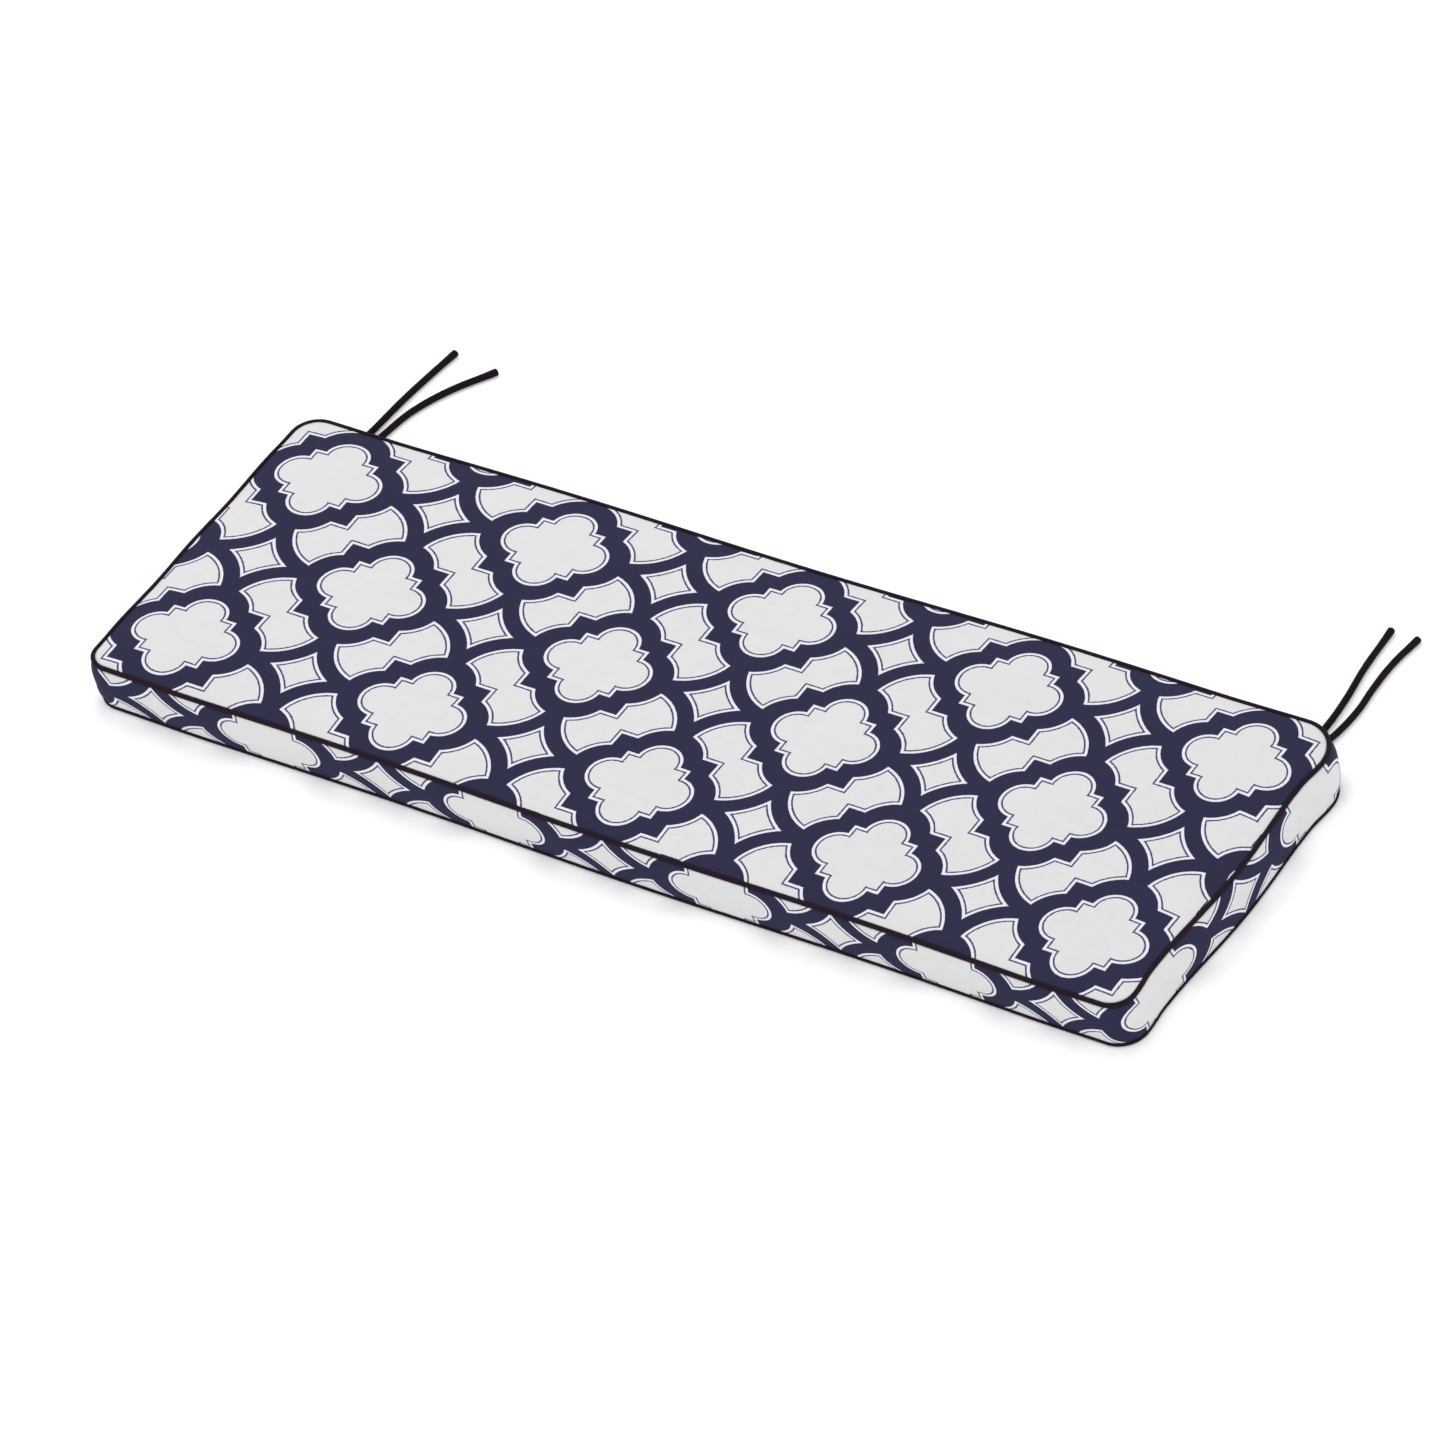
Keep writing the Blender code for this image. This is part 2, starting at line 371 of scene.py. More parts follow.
def rise(value, edge, half_width):
    """0 below an edge and 1 above it, with a soft step."""
    node = value.tree.nodes.new("ShaderNodeMapRange")
    node.interpolation_type = "SMOOTHSTEP"
    node.inputs["From Min"].default_value = edge - half_width
    node.inputs["From Max"].default_value = edge + half_width
    value.tree.links.new(value.socket, node.inputs["Value"])
    return Value(value.tree, node.outputs["Result"])


def uv_numbers(tree, title):
    """The two numbers of a UV map."""
    node = tree.nodes.new("ShaderNodeUVMap")
    node.uv_map = title
    split = tree.nodes.new("ShaderNodeSeparateXYZ")
    tree.links.new(node.outputs["UV"], split.inputs[0])
    return Value(tree, split.outputs["X"]), Value(tree, split.outputs["Y"])


def grain(x, y, seed, detail=2.0):
    """Smooth noise from 0 to 1 at a place. A unit of x or y is about one lump."""
    tree = x.tree
    place = tree.nodes.new("ShaderNodeCombineXYZ")
    for value, socket in ((x, "X"), (y, "Y")):
        tree.links.new(value.socket, place.inputs[socket])
    place.inputs["Z"].default_value = seed
    node = tree.nodes.new("ShaderNodeTexNoise")
    node.noise_dimensions = "3D"
    node.inputs["Scale"].default_value = 1.0
    node.inputs["Detail"].default_value = detail
    tree.links.new(place.outputs[0], node.inputs["Vector"])
    return Value(tree, node.outputs["Fac"])


def blend(share, low, high):
    """Mixes two colours. Each is a colour or the socket of one."""
    tree = share.tree
    node = tree.nodes.new("ShaderNodeMix")
    node.data_type = "RGBA"
    tree.links.new(share.socket, node.inputs["Factor"])
    for colour, socket in ((low, node.inputs[6]), (high, node.inputs[7])):
        if isinstance(colour, tuple):
            socket.default_value = (*colour, 1.0)
        else:
            tree.links.new(colour, socket)
    return node.outputs[2]


def shade(colour, factor):
    """Makes a colour lighter or darker by a factor."""
    tree = factor.tree
    node = tree.nodes.new("ShaderNodeVectorMath")
    node.operation = "SCALE"
    tree.links.new(colour, node.inputs[0])
    tree.links.new(factor.socket, node.inputs["Scale"])
    return node.outputs["Vector"]


SPECULAR_LEVEL = 0.08
SHEEN_ROUGHNESS = 0.5


def new_material(name, roughness, sheen):
    """A cloth's material, its node tree and its shader."""
    material = bpy.data.materials.new(name)
    material.use_nodes = True
    tree = material.node_tree
    shader = tree.nodes["Principled BSDF"]
    shader.inputs["Roughness"].default_value = roughness
    shader.inputs["Specular IOR Level"].default_value = SPECULAR_LEVEL
    shader.inputs["Sheen Weight"].default_value = sheen
    shader.inputs["Sheen Roughness"].default_value = SHEEN_ROUGHNESS
    return material, tree, shader


THREAD_HEIGHT = 0.00012


def raise_threads(tree, shader, height, strength):
    """Bump of the threads, from a height of about 0 to 1."""
    bump = tree.nodes.new("ShaderNodeBump")
    bump.inputs["Distance"].default_value = THREAD_HEIGHT
    bump.inputs["Strength"].default_value = strength
    tree.links.new(height.socket, bump.inputs["Height"])
    tree.links.new(bump.outputs["Normal"], shader.inputs["Normal"])


# ------------------------------------------------------------------ printed cloth

NAVY = (0.0240, 0.0240, 0.0590)
RIM = (0.760, 0.745, 0.815)
LINE = (0.062, 0.060, 0.122)
WHITE = (0.690, 0.688, 0.695)
RIM_WIDTH = 0.0112
LINE_WIDTH = 0.0070
EDGE_SOFTNESS = 0.0008
INNER_QUATREFOIL = (0.1384, 0.1324, 0.0913)
OUTER_QUATREFOIL = (0.2121, 0.1543, 0.1537)
RING_INSIDE = 0.2156
RING_OUTSIDE = 0.2791
THREAD_PITCH = 0.0009
# Lumps a metre of each unevenness of the print and the cloth
WOBBLE_LUMPS = 260.0
RAGGED_LUMPS = 420.0
SLUB_LUMPS = 1100.0
SLUB_LENGTH_LUMPS = 70.0
CLOUD_LUMPS = 9.0
MOTTLE_LUMPS = 55.0
# How far the print's edges stray, in repeats
WOBBLE = 0.003
RAGGED = 0.005
RAGGED_RIM_SHARE = 0.7


def quatrefoil(x, y, half_side, offset, radius):
    """Signed distance from a square with a round lobe on each side, centred on nought."""
    square = most(x, y) - half_side
    lobes = least(far_from(x, y, offset, 0.0), far_from(x, y, 0.0, offset)) - radius
    return least(square, lobes)


def trellis(u, v):
    """How far a point lies inside the white parts of the print, in repeats.

    Quatrefoils are centred on whole and on half repeats, and a ring lies between each four.
    """
    a = abs((u + 0.5).math("FRACT") - 0.5)
    b = abs((v + 0.5).math("FRACT") - 0.5)
    far_a = 0.5 - a
    far_b = 0.5 - b
    inner = least(quatrefoil(a, b, *INNER_QUATREFOIL), quatrefoil(far_a, far_b, *INNER_QUATREFOIL))
    outer = least(quatrefoil(a, b, *OUTER_QUATREFOIL), quatrefoil(far_a, far_b, *OUTER_QUATREFOIL))
    ring_far = far_from(a, b, 0.25, 0.25)
    return most(-inner, least(RING_INSIDE - ring_far, outer), least(ring_far - RING_OUTSIDE, outer))


def make_printed_cloth():
    """White woven cloth with the navy trellis, its pale rims and the thin line inside each rim."""
    material, tree, shader = new_material("printed_cloth", 0.88, 0.02)
    u, v = uv_numbers(tree, "print")
    wobble = (grain(u * WOBBLE_LUMPS, v * WOBBLE_LUMPS, 3.0) - 0.5) * WOBBLE
    ragged = (grain(u * RAGGED_LUMPS, v * RAGGED_LUMPS, 29.0) - 0.5) * RAGGED
    white = trellis(u * (1 / REPEAT.x), v * (1 / REPEAT.y)) + wobble
    warp = grain(u * SLUB_LUMPS, v * SLUB_LENGTH_LUMPS, 11.0)
    weft = grain(u * SLUB_LENGTH_LUMPS, v * SLUB_LUMPS, 17.0)
    cloudy = grain(u * CLOUD_LUMPS, v * CLOUD_LUMPS, 23.0) - 0.5
    mottled = grain(u * MOTTLE_LUMPS, v * MOTTLE_LUMPS, 37.0) - 0.5
    streak = (warp + weft) * 0.5 - 0.5
    turn = 2 * math.pi / THREAD_PITCH
    over = (u * turn).math("SINE") * (v * turn).math("SINE")
    pale = shade(blend(rise(white + ragged, RIM_WIDTH + LINE_WIDTH, EDGE_SOFTNESS), LINE, WHITE),
                 1.0 + streak * 0.16 + cloudy * 0.04 + mottled * 0.07)
    navy = tree.nodes.new("ShaderNodeRGB")
    navy.outputs[0].default_value = (*NAVY, 1.0)
    dark = shade(navy.outputs[0], 1.0 + streak * 0.55 + cloudy * 0.12)
    rim = blend(rise(white + ragged * RAGGED_RIM_SHARE, RIM_WIDTH, EDGE_SOFTNESS), RIM, pale)
    colour = blend(rise(white, 0.0, EDGE_SOFTNESS), dark, rim)
    woven = shade(colour, 0.985 + over * 0.03)
    tree.links.new(woven, shader.inputs["Base Color"])
    raise_threads(tree, shader, over * 0.5 + 0.5 + streak * 0.6, 0.5)
    return material


# ------------------------------------------------------------------ dark cloth

PIPING_PLUM = (0.0135, 0.0063, 0.0135)
TIE_PLUM = (0.0080, 0.0042, 0.0085)
BIAS_PITCH = 0.0008


def make_dark_cloth(name, colour, turned):
    """Plain cloth of the pipings and ties. A turned one has its threads on the bias."""
    material, tree, shader = new_material(name, 0.85, 0.03)
    u, v = uv_numbers(tree, "cloth")
    first, second = (u + v, u - v) if turned else (u, v)
    turn = 2 * math.pi / BIAS_PITCH
    over = (first * turn).math("SINE") * (second * turn).math("SINE")
    streak = grain(first * 900.0, second * 90.0, 5.0) - 0.5
    cloudy = grain(u * 40.0, v * 40.0, 8.0) - 0.5
    plain = tree.nodes.new("ShaderNodeRGB")
    plain.outputs[0].default_value = (*colour, 1.0)
    factor = 1.0 + streak * 0.5 + cloudy * 0.35 + over * 0.15
    tree.links.new(shade(plain.outputs[0], factor), shader.inputs["Base Color"])
    raise_threads(tree, shader, over * 0.5 + 0.5 + streak, 0.7)
    return material


# ------------------------------------------------------------------ ties

def behind_seam(x):
    """How far back a tie starts, just clear of the bottom piping."""
    seam = ring(0.0)
    back = [out_of_true(point.x, point.y, BOTTOM_SEAM_Z, 0.0)
            for place, point in zip(STATIONS, seam) if math.isclose(place.out.y, 1.0)]
    for near, far in zip(back, back[1:]):
        if far.x <= x <= near.x:
            share = (x - near.x) / (far.x - near.x)
            return near.lerp(far, share).y + PIPING_RADIUS + GAP
    raise ValueError("a tie must start at the straight part of the back seam")


def smooth_route(tie):
    """Points on one smooth curve on the ground from the back seam through a tie's route."""
    start = Vector((tie.start_x, behind_seam(tie.start_x), TIE_Z))
    marks = [start + TIE_LEAD, *(Vector((x, y, TIE_Z)) for x, y in tie.route)]
    slopes = [(after - before).normalized() for before, after in zip(marks, marks[2:])]
    slopes = [TIE_LEAD.normalized(), *slopes, (marks[-1] - marks[-2]).normalized()]
    points = [start.lerp(marks[0], share) for share in (0.0, 0.25, 0.5, 0.75, 1.0)]
    for here in range(len(marks) - 1):
        begin, end = marks[here], marks[here + 1]
        handle = TIE_BEND * (end - begin).length
        leave = begin + handle * slopes[here]
        arrive = end - handle * slopes[here + 1]
        points += interpolate_bezier(begin, leave, arrive, end, TIE_STEPS)[1:]
    return points


def route_length(points):
    """Length of a line of points."""
    return sum((after - before).length for before, after in zip(points, points[1:]))


END_ROUNDING = 0.0022
END_SHARES = (1.0, 0.6, 0.3, 0.08, 0.0)  # of the rounding, from where its sections are to the end
END_BLUNTNESS = 0.45
END_SWELL = 0.10
END_SWELL_REACH = 0.012
TIE_WRINKLE = 0.03
SEAM_DEPTH = 0.00035
SEAM_WIDTH = math.radians(16)
SEAM_ANGLE = math.radians(130)
SEAM_TWIST = 3.0
SEAM_WANDER = 0.4
LEAST_LIFT = 0.98  # of the radius


def tie_radius(far, length, angle, seed):
    """Radius of a tie at a distance along it and an angle round it."""
    to_end = length - far
    radius = TIE_RADIUS * (1 - TIE_WRINKLE * abs(noise.noise((far * 90, math.sin(angle), seed))))
    radius *= 1 + END_SWELL * math.exp(-((to_end - END_ROUNDING) / END_SWELL_REACH) ** 2)
    seam_at = SEAM_ANGLE + SEAM_TWIST * far + SEAM_WANDER * noise.noise((far * 30, 0, seed))
    off = math.remainder(angle - seam_at, 2 * math.pi)
    radius -= SEAM_DEPTH * math.exp(-(off / SEAM_WIDTH) ** 2)
    for rim in (to_end, far):
        if rim < END_ROUNDING:
            rounded = math.sqrt(max(0.0, 1 - (1 - rim / END_ROUNDING) ** 2))
            radius *= rounded * (1 - END_BLUNTNESS) + END_BLUNTNESS
    return radius


def tie_sections(route, length):
    """Each section's distance along a tie and its place. The sections are closer at the free end."""
    far = 0.0
    stops = [(far, route[0])]
    for before, point in zip(route, route[1:]):
        far += (point - before).length
        stops.append((far, point))
    sections = [stop for stop in stops if stop[0] < length - END_ROUNDING * 1.1]
    heading = (route[-1] - route[-2]).normalized()
    for share in END_SHARES:
        back = END_ROUNDING * share
        sections.append((length - back, route[-1] - heading * back))
    return sections


def tie_points(sections, length, seed):
    """Rings of points round a tie that lies on the ground."""
    angles = [2 * math.pi * turn / TIE_SIDES for turn in range(TIE_SIDES)]
    points = []
    for index, (far, point) in enumerate(sections):
        if index + 1 < len(sections):
            forward = (sections[index + 1][1] - point).normalized()
        side = Vector((forward.y, -forward.x, 0.0))
        radii = [tie_radius(far, length, angle, seed) for angle in angles]
        lift = max(radii[TIE_SIDES // 2:] + [TIE_RADIUS * LEAST_LIFT])
        centre = Vector((point.x, point.y, GROUND_GAP + lift))
        for angle, radius in zip(angles, radii):
            points.append(centre + radius * (math.cos(angle) * side + math.sin(angle) * Vector((0, 0, 1))))
    return points


def make_tie(name, tie, material, seed):
    """A narrow sewn cloth tube along its route."""
    route = smooth_route(tie)
    length = route_length(route)
    sections = tie_sections(route, length)
    points = tie_points(sections, length, seed)
    around = 2 * math.pi * TIE_RADIUS / TIE_SIDES
    faces, places = [], []
    for row in range(len(sections) - 1):
        first = row * TIE_SIDES
        low, high = sections[row][0], sections[row + 1][0]
        for turn in range(TIE_SIDES):
            after = (turn + 1) % TIE_SIDES
            faces.append((first + turn, first + after, first + TIE_SIDES + after, first + TIE_SIDES + turn))
            places += [(low, turn * around), (low, (turn + 1) * around),
                       (high, (turn + 1) * around), (high, turn * around)]
    for first, order in ((0, -1), (len(points) - TIE_SIDES, 1)):
        cap = list(range(first, first + TIE_SIDES))[::order]
        faces.append(tuple(cap))
        places += [(points[spot].x, points[spot].z) for spot in cap]
    piece = build_mesh(name, points, faces, {"cloth": places}, material)
    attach(piece, BODY)
    return piece


# ------------------------------------------------------------------ pipings

WELT_SIDES = 16
WELT_WRINKLE = 0.00012


def make_welt(name, seam_z, height, material, seed):
    """A cord wrapped in bias cloth all the way round a seam."""
    count = len(STATIONS)
    points, faces, places = [], [], []
    for turn in range(WELT_SIDES):
        angle = 2 * math.pi * turn / WELT_SIDES
        line = ring(PIPING_RADIUS * math.cos(angle), height)
        for place, spot, far in zip(STATIONS, line, ARC):
            wave = noise.noise((far * 70, 2 * math.sin(angle), seed + math.cos(angle)))
            thin = WELT_WRINKLE * (0.5 + 0.5 * wave)
            spot = spot - place.out * thin * math.cos(angle)
            z = seam_z + (PIPING_RADIUS - thin) * math.sin(angle)
            points.append(out_of_true(spot.x, spot.y, z, height))
    around = 2 * math.pi * PIPING_RADIUS / WELT_SIDES
    far = [*ARC, ROUND]
    for turn in range(WELT_SIDES):
        after = (turn + 1) % WELT_SIDES
        for here in range(count):
            there = (here + 1) % count
            faces.append((turn * count + here, turn * count + there,
                          after * count + there, after * count + here))
            places += [(far[here], turn * around), (far[here + 1], turn * around),
                       (far[here + 1], (turn + 1) * around), (far[here], (turn + 1) * around)]
    piece = build_mesh(name, points, faces, {"cloth": places}, material)
    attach(piece, BODY)
    return piece


# ------------------------------------------------------------------ cover

UNDERSIDE_INSETS = (0.20, 0.18, 0.16, 0.14, 0.12, 0.10, 0.08, 0.06, 0.045, 0.033, 0.024, 0.017, FOOT_INSET)
FOOT_HEM = ((0.009, 0.00012), (0.0065, 0.00035), (0.0045, 0.00065))  # insets and heights
BOTTOM_GROOVE_ANGLES = (225, 205, 180, 157, 135, 112, 90, 76, 62)
TOP_GROOVE_ANGLES = (298, 284, 270, 248, 225, 203, 180, 168, 157)
BAND_GROOVE_ANGLES = 6  # of the top ones, as far as the band goes
BAND_LEVELS = (-0.93, -0.86, -0.78, -0.68, -0.55, -0.4, -0.2, 0.0, 0.2, 0.4, 0.55, 0.68, 0.78, 0.86, 0.93)
CROWN_INSETS = (0.004, 0.006, 0.0085, 0.0115, 0.015, 0.019, 0.024, 0.030, 0.037, 0.045, 0.053, 0.061, 0.069,
                0.077, 0.085, 0.093, 0.101, 0.109, 0.117, 0.125, 0.133, 0.141, 0.149, 0.157, 0.165, 0.173,
                0.181, 0.189, 0.196)
Row = namedtuple("Row", "part line z height edge")  # edge is the distance from the nearest seam


def inner_growth(inset):
    """How much the corner radii grow at an inset. They shrink where the middle gets narrow."""
    widest = max(CORNERS[0].high.radius + CORNERS[3].high.radius,
                 CORNERS[1].high.radius + CORNERS[2].high.radius) / 2
    return min(CROWN_ROUNDING * inset, 0.95 * (DEPTH / 2 - inset) - widest)


def groove_row(part, angle, seam_z, height):
    """A row in the groove that a piping lies in."""
    turn = math.radians(angle)
    line = ring(GROOVE_RADIUS * math.cos(turn), height)
    return Row(part, line, seam_z + GROOVE_RADIUS * math.sin(turn), height, 0.0)


def band_rows():
    """The boxing band between its two lips."""
    turn = math.radians(BOTTOM_GROOVE_ANGLES[-1])
    over = GROOVE_RADIUS * math.cos(turn)
    lip = GROOVE_RADIUS * math.sin(turn)
    foot = BOTTOM_SEAM_Z + lip
    tall = TOP_SEAM_Z - lip - foot
    rows = []
    for level in BAND_LEVELS:
        height = (1 + level) / 2
        swell = BAND_SWELL * (1 - abs(level) ** BAND_POWER)
        edge = tall / 2 * (1 - abs(level))
        rows.append(Row("band", ring(over, height, swell), foot + tall * height, height, edge))
    return rows


def crown_rows(start_z):
    """The top panel from its groove to its middle."""
    start = -GROOVE_RADIUS * math.cos(math.radians(TOP_GROOVE_ANGLES[-1]))
    rows = []
    for inset in CROWN_INSETS:
        left = max(0.0, 1 - (inset - start) / (CROWN_REACH - start))
        z = start_z + CROWN * (1 - left**CROWN_POWER)
        line = ring(-inset, 1.0, keep=left**2, growth=inner_growth(inset))
        rows.append(Row("top", line, z, 1.0, inset - start))
    return rows


def cover_rows():
    """All rows of the cover: the underside from its middle, the band, and the top to its middle."""
    rows = []
    for inset in UNDERSIDE_INSETS:
        line = ring(-inset, growth=min(inner_growth(inset), 0.0))
        rows.append(Row("bottom", line, 0.0, 0.0, inset))
    for inset, z in FOOT_HEM:
        rows.append(Row("bottom", ring(-inset), z, 0.0, inset))
    for angle in BOTTOM_GROOVE_ANGLES:
        part = "bottom" if angle >= 180 else "band"
        rows.append(groove_row(part, angle, BOTTOM_SEAM_Z, 0.0))
    rows += band_rows()
    for index, angle in enumerate(TOP_GROOVE_ANGLES):
        part = "band" if index < BAND_GROOVE_ANGLES else "top"
        rows.append(groove_row(part, angle, TOP_SEAM_Z, 1.0))
    return rows + crown_rows(rows[-1].z)


# Creases and folds of the band: the corner that they are near, how far past its middle, how far they
# lean over the band's height, their half width, and how far they stand out
Crease = namedtuple("Crease", "corner past lean width out")
CREASES = (
    Crease(0, 0.010, 0.004, 0.0040, -0.0004),
    Crease(1, -0.020, 0.004, 0.0030, -0.0005),
    Crease(1, -0.008, -0.002, 0.0028, -0.0006),
    Crease(1, 0.006, 0.003, 0.0030, -0.0005),
    Crease(2, -0.105, 0.040, 0.0110, 0.0012),
    Crease(2, -0.078, 0.046, 0.0090, -0.0013),
    Crease(2, -0.050, 0.040, 0.0080, 0.0013),
    Crease(2, 0.016, 0.010, 0.0060, -0.0005),
    Crease(3, -0.012, -0.006, 0.0050, -0.0005),
    Crease(3, 0.014, 0.008, 0.0060, -0.0005),
)


def corner_middles():
    """How far round the seam the middle of each corner is."""
    middles = []
    for corner in CORNERS:
        anchor = Vector((corner.x, corner.y))
        found = [far for place, far in zip(STATIONS, ARC) if place.side is None and place.anchor == anchor]
        middles.append(found[len(found) // 2])
    return middles


MIDDLES = corner_middles()


def creased(far, height):
    """How far the creases move the band at a place. height runs from 0 to 1 up the band."""
    move = 0.0
    for mark in CREASES:
        off = far - MIDDLES[mark.corner] - mark.past - mark.lean * (height - 0.5)
        move += mark.out * math.exp(-(off / mark.width) ** 2)
    return move * math.sin(math.pi * height)


# Depths of the cloth's unevenness, and how far from a seam each one fades or comes up
PUCKER = 0.00022
PUCKER_REACH = 0.010
TOP_UNEVENNESS = 0.0006
TOP_CALM_REACH = 0.05
BAND_UNEVENNESS = 0.0008
BAND_CALM_REACH = 0.02


def relief(row, spot, far):
    """How far the cloth stands out at a place. Noise is in lumps a metre."""
    if row.part == "bottom":
        return 0.0
    pucker = PUCKER * noise.noise((far * 75, row.edge * 30, 4.0)) * math.exp(-row.edge / PUCKER_REACH)
    if row.part == "top":
        calm = 1 - math.exp(-row.edge / TOP_CALM_REACH)
        soft = noise.noise((spot.x * 6, spot.y * 7, 1.0)) + 0.5 * noise.noise((spot.x * 15, spot.y * 17, 2.0))
        return pucker + TOP_UNEVENNESS * soft * calm
    soft = noise.noise((far * 9, row.edge * 12, 7.0)) + 0.4 * noise.noise((far * 26, row.edge * 30, 9.0))
    calm = min(1.0, row.edge / BAND_CALM_REACH)
    return pucker + BAND_UNEVENNESS * soft * calm + creased(far, row.height)


def row_points(row):
    """A row's points, with the cloth's relief, put out of true."""
    points = []
    for place, spot, far in zip(STATIONS, row.line, ARC):
        out = relief(row, spot, far)
        z = row.z
        if row.part == "band":
            spot = spot + place.out * out
        else:
            z += out
        points.append(out_of_true(spot.x, spot.y, z, row.height))
    return points


def band_count():
    """The number of repeats of the print from the first mark to each station, along the band."""
    line = ring(0.0, keep=0.0)
    marks = []
    for side, place, count in BAND_MARKS:
        axis = 0 if side == "front" else 1
        near = [(abs(point[axis] - place), far, point[axis] - place) for station, point, far
                in zip(STATIONS, line, ARC) if station.side == side]
        _, far, over = min(near)
        marks.append((far - over, count))
    first = marks[0][0]
    marks.append((first + ROUND, BAND_REPEATS))
    counts = []
    for far in [*ARC, ROUND]:
        place = far + ROUND if far < first else far
        for (start, low), (end, high) in zip(marks, marks[1:]):
            if start <= place <= end:
                count = low + (high - low) * (place - start) / (end - start)
        counts.append(count - BAND_REPEATS if far < first else count)
    return counts


def panel_print(part, spot):
    """Where a point of a panel lies on its print, in metres of cloth."""
    x, y = spot
    if part == "bottom":
        return (UNDERSIDE_START.x - x, y - UNDERSIDE_START.y)
    terms = (1, x, y, x * y, x * x, y * y)
    lie_u = sum(share * term for share, term in zip(TOP_LIE_U, terms))
    lie_v = sum(share * term for share, term in zip(TOP_LIE_V, terms))
    return (lie_u * REPEAT.x, lie_v * REPEAT.y)


def band_print(count, z):
    """Where a point of the band lies on its print, in metres of cloth."""
    up = z - BAND_PRINT_Z
    return (count * REPEAT.x + BAND_SLANT * up, up * BAND_SQUASH)


# Layout of the cover's flat pattern, in metres, for a picture of it: the top panel, the underside
# above it, and the band above both, cut into strips
BAKE_SIZE = 1.42
BAKE_MIDDLES = {"top": Vector((0.70, 0.24)), "bottom": Vector((0.70, 0.73))}
BAKE_STRIP = 1.3
BAKE_STRIP_START = Vector((0.02, 0.985))
BAKE_STRIP_STEP = 0.12


def panel_bake(part, spot):
    """Where a point of a panel lies in the flat pattern."""
    return (spot + BAKE_MIDDLES[part]) / BAKE_SIZE


def band_bake(far, up, strip):
    """Where a point of the band lies in the flat pattern."""
    spot = BAKE_STRIP_START + Vector((far - strip * BAKE_STRIP, up + strip * BAKE_STRIP_STEP))
    return spot / BAKE_SIZE


PROFILE_STATION = len(STATIONS) // 6  # on the front side


def way_up(rows):
    """How far each row is up the cover's profile, from the row where the band begins."""
    ups = [0.0]
    for low, high in zip(rows, rows[1:]):
        across = (high.line[PROFILE_STATION] - low.line[PROFILE_STATION]).length
        ups.append(ups[-1] + math.hypot(across, high.z - low.z))
    parts = [row.part for row in rows]
    start = ups[parts.index("band") - 1]
    return [up - start for up in ups]


def make_cover(material):
    """The sewn cover: bottom panel, boxing band and top panel, closed at the middle of each panel."""
    rows = cover_rows()
    points = [point for row in rows for point in row_points(row)]
    faces = []
    maps = {"print": [], "OFBake": []}
    count = len(STATIONS)
    repeats = band_count()
    far = [*ARC, ROUND]
    ups = way_up(rows)
    for level, (low, high) in enumerate(zip(rows, rows[1:])):
        part = "band" if "band" in (low.part, high.part) else low.part
        first = level * count
        for here in range(count):
            there = (here + 1) % count
            faces.append((first + here, first + there, first + count + there, first + count + here))
            strip = int(far[here] / BAKE_STRIP)
            for index, tall in ((here, 0), (here + 1, 0), (here + 1, 1), (here, 1)):
                row = rows[level + tall]
                spot = row.line[index % count]
                if part == "band":
                    maps["print"].append(band_print(repeats[index], row.z))
                    maps["OFBake"].append(band_bake(far[index], ups[level + tall], strip))
                else:
                    maps["print"].append(panel_print(part, spot))
                    maps["OFBake"].append(panel_bake(part, spot))
    held = [index for index in range(len(points)) if is_held(rows[index // count])]
    held += close_panel(points, faces, maps, rows[0], 0)
    close_panel(points, faces, maps, rows[-1], (len(rows) - 1) * count)
    cover = build_mesh("cushion_cover", points, faces, maps, material)
    fill_out(cover, held)
    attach(cover, BODY)
    return cover


def is_held(row):
    """Whether a row can't move when the cover fills out: the underside and the seams."""
    return row.part == "bottom" or row.edge == 0.0


def spine_step(place):
    """The step along a panel's middle line that a station belongs to."""
    steps = SIDE_STEPS["front"]
    if place.side == "front":
        return round(place.along * steps)
    if place.side == "back":
        return steps - round(place.along * steps)
    return 0 if place.anchor.x < 0 else steps


def close_panel(points, faces, maps, row, first):
    """Closes a panel from its innermost row to a line along its middle. Gives the line's points."""
    steps = SIDE_STEPS["front"]
    reach = LENGTH / 2 - DEPTH / 2
    spine_first = len(points)
    spine = [Vector((reach * (2 * step / steps - 1), 0.0)) for step in range(steps + 1)]
    for spot in spine:
        lift = relief(row, spot, 0.0)
        points.append(out_of_true(spot.x, spot.y, row.z + lift, row.height))
    count = len(STATIONS)
    for here in range(count):
        there = (here + 1) % count
        near, next_near = spine_step(STATIONS[here]), spine_step(STATIONS[there])
        corners = [(first + here, row.line[here]), (first + there, row.line[there]),
                   (spine_first + next_near, spine[next_near])]
        if near != next_near:
            corners.append((spine_first + near, spine[near]))
        if row.part == "bottom":
            corners.reverse()
        faces.append(tuple(index for index, _ in corners))
        maps["print"] += [panel_print(row.part, spot) for _, spot in corners]
        maps["OFBake"] += [panel_bake(row.part, spot) for _, spot in corners]
    return list(range(spine_first, len(points)))


# A short cloth simulation under air pressure fills the cover out a little. Longer moves are cut off
FILL_FRAMES = 12
FILL_PRESSURE = 0.5
FILL_QUALITY = 3
FILL_CAP = 0.0015


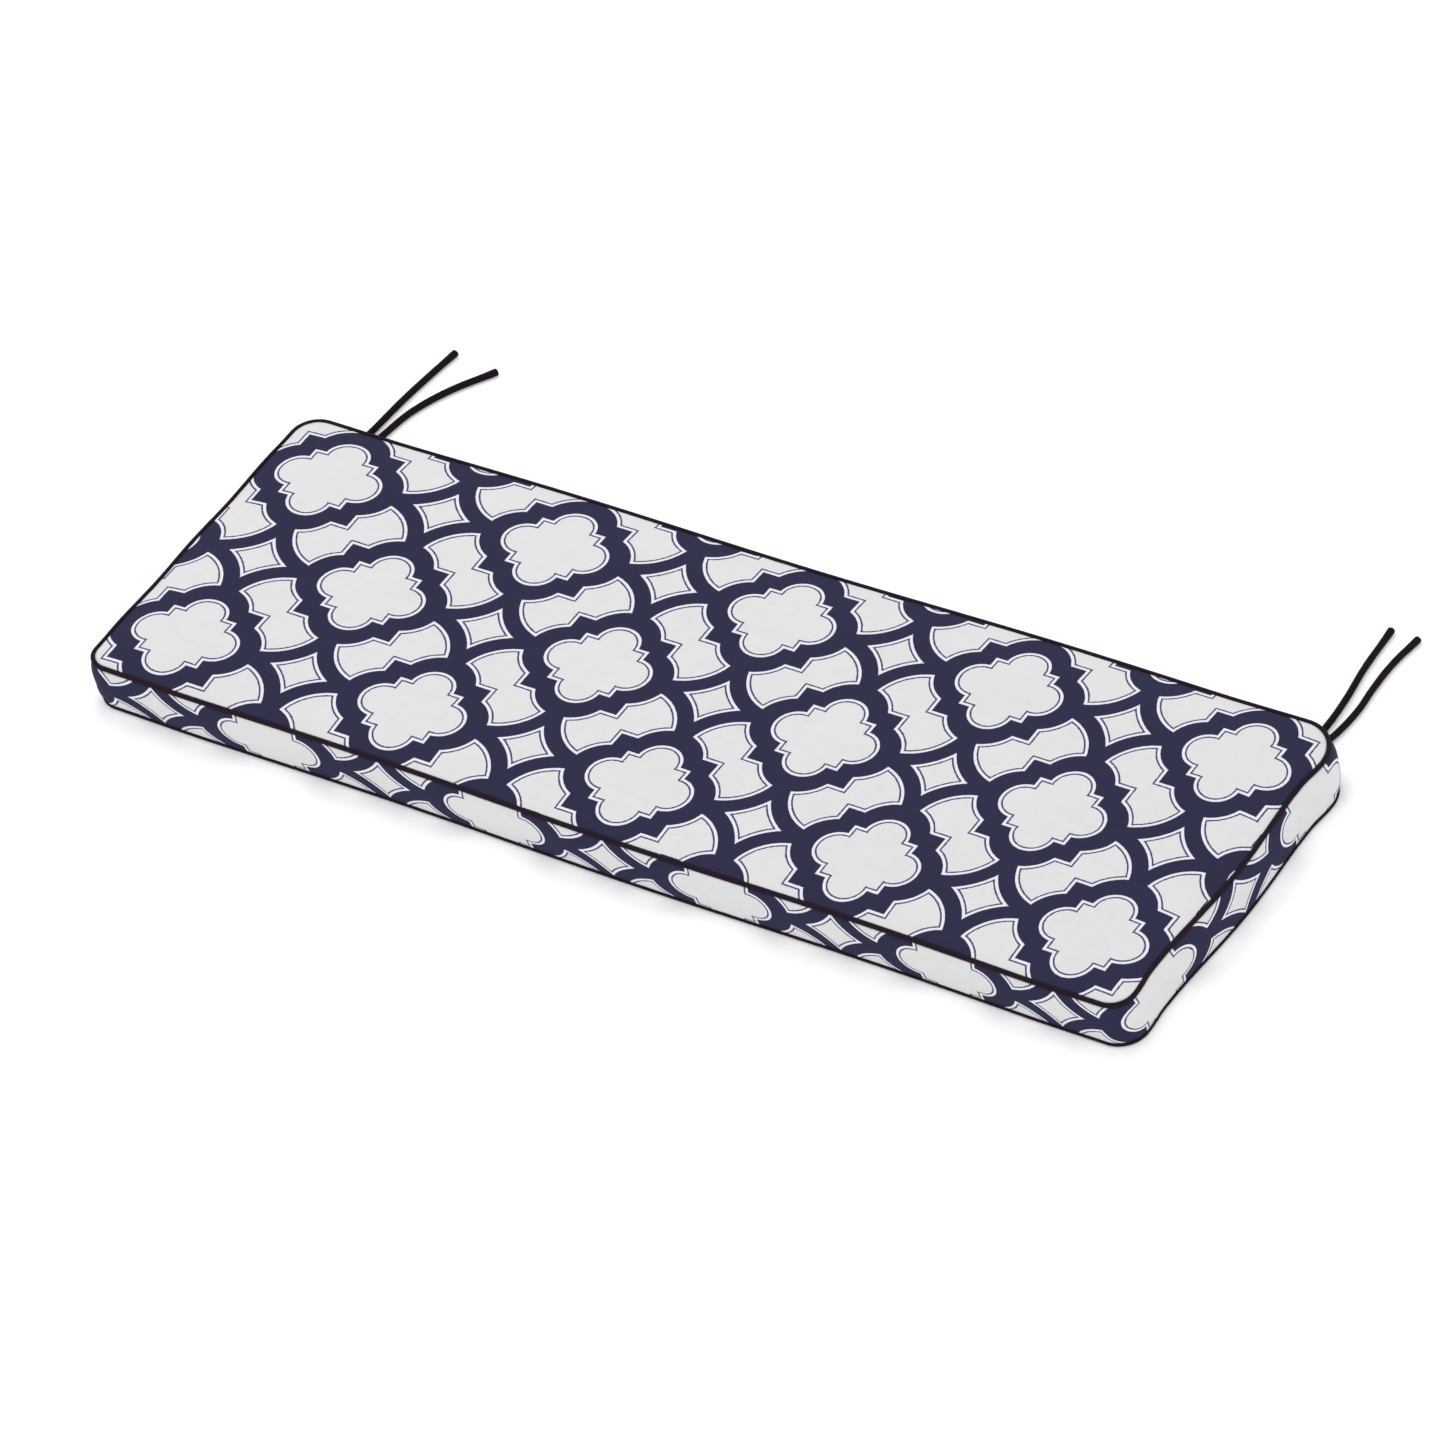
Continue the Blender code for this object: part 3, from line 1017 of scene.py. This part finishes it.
def fill_out(cover, held):
    """Lets the cover swell between its seams, and keeps the result in its mesh."""
    scene = bpy.context.scene
    shell = link(bpy.data.objects.new("shell", cover.data.copy()))
    shell.vertex_groups.new(name="held").add(held, 1.0, "REPLACE")
    cloth = shell.modifiers.new("cloth", "CLOTH")
    cloth.settings.vertex_group_mass = "held"
    cloth.settings.use_pressure = True
    cloth.settings.uniform_pressure_force = FILL_PRESSURE
    cloth.settings.effector_weights.gravity = 0.0
    cloth.settings.quality = FILL_QUALITY
    cloth.point_cache.frame_start = 1
    cloth.point_cache.frame_end = FILL_FRAMES
    for frame in range(1, FILL_FRAMES + 1):
        scene.frame_set(frame)
    filled = shell.evaluated_get(bpy.context.evaluated_depsgraph_get()).data
    for vertex, end in zip(cover.data.vertices, filled.vertices):
        move = end.co - vertex.co
        if move.length > FILL_CAP:
            move *= FILL_CAP / move.length
        vertex.co += move
    bpy.data.objects.remove(shell)
    scene.frame_set(1)
    cover.data.update()


# ------------------------------------------------------------------ stage

FLOOR_REACH = 40.0
FLOOR_COLOUR = (0.96, 0.96, 0.96)
FLOOR_GLOW = 0.14
SKY_STRENGTH = 1.06
LAMP_PLACE = Vector((-1.6, 1.2, 4.0))
LAMP_SIZE = 2.4
LAMP_POWER = 22.0


def make_stage():
    """A plain pale floor under soft light."""
    corners = [(-FLOOR_REACH, -FLOOR_REACH, 0), (FLOOR_REACH, -FLOOR_REACH, 0),
               (FLOOR_REACH, FLOOR_REACH, 0), (-FLOOR_REACH, FLOOR_REACH, 0)]
    data = bpy.data.meshes.new("floor")
    data.from_pydata(corners, [], [(0, 1, 2, 3)])
    material = bpy.data.materials.new("floor")
    material.use_nodes = True
    shader = material.node_tree.nodes["Principled BSDF"]
    shader.inputs["Base Color"].default_value = (*FLOOR_COLOUR, 1.0)
    shader.inputs["Roughness"].default_value = 1.0
    shader.inputs["Specular IOR Level"].default_value = 0.0
    shader.inputs["Emission Color"].default_value = (1.0, 1.0, 1.0, 1.0)
    shader.inputs["Emission Strength"].default_value = FLOOR_GLOW
    data.materials.append(material)
    floor = link(bpy.data.objects.new("floor", data))
    world = bpy.data.worlds.new("studio")
    world.use_nodes = True
    sky = world.node_tree.nodes["Background"]
    sky.inputs["Color"].default_value = (1.0, 1.0, 1.0, 1.0)
    sky.inputs["Strength"].default_value = SKY_STRENGTH
    bpy.context.scene.world = world
    lamp_data = bpy.data.lights.new("softbox", "AREA")
    lamp_data.shape = "DISK"
    lamp_data.size = LAMP_SIZE
    lamp_data.energy = LAMP_POWER
    lamp = link(bpy.data.objects.new("softbox", lamp_data))
    lamp.location = LAMP_PLACE
    lamp.rotation_euler = (-LAMP_PLACE).to_track_quat("-Z", "Y").to_euler()
    bpy.context.scene.view_settings.view_transform = "Standard"


def main():
    make_camera()
    tie_cloth = make_dark_cloth("tie_cord", TIE_PLUM, False)
    for seed, (name, tie) in enumerate(TIES.items()):
        piece = make_tie(name.replace("tie", "cord"), tie, tie_cloth, 10.0 * seed)
        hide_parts(name)
    piping_cloth = make_dark_cloth("piping_cloth", PIPING_PLUM, True)
    top = make_welt("welt_top", TOP_SEAM_Z, 1.0, piping_cloth, 31.0)
    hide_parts("piping_top")
    bottom = make_welt("welt_bottom", BOTTOM_SEAM_Z, 0.0, piping_cloth, 47.0)
    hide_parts("piping_bottom")
    cover = make_cover(make_printed_cloth())
    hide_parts("cushion")
    make_stage()


main()
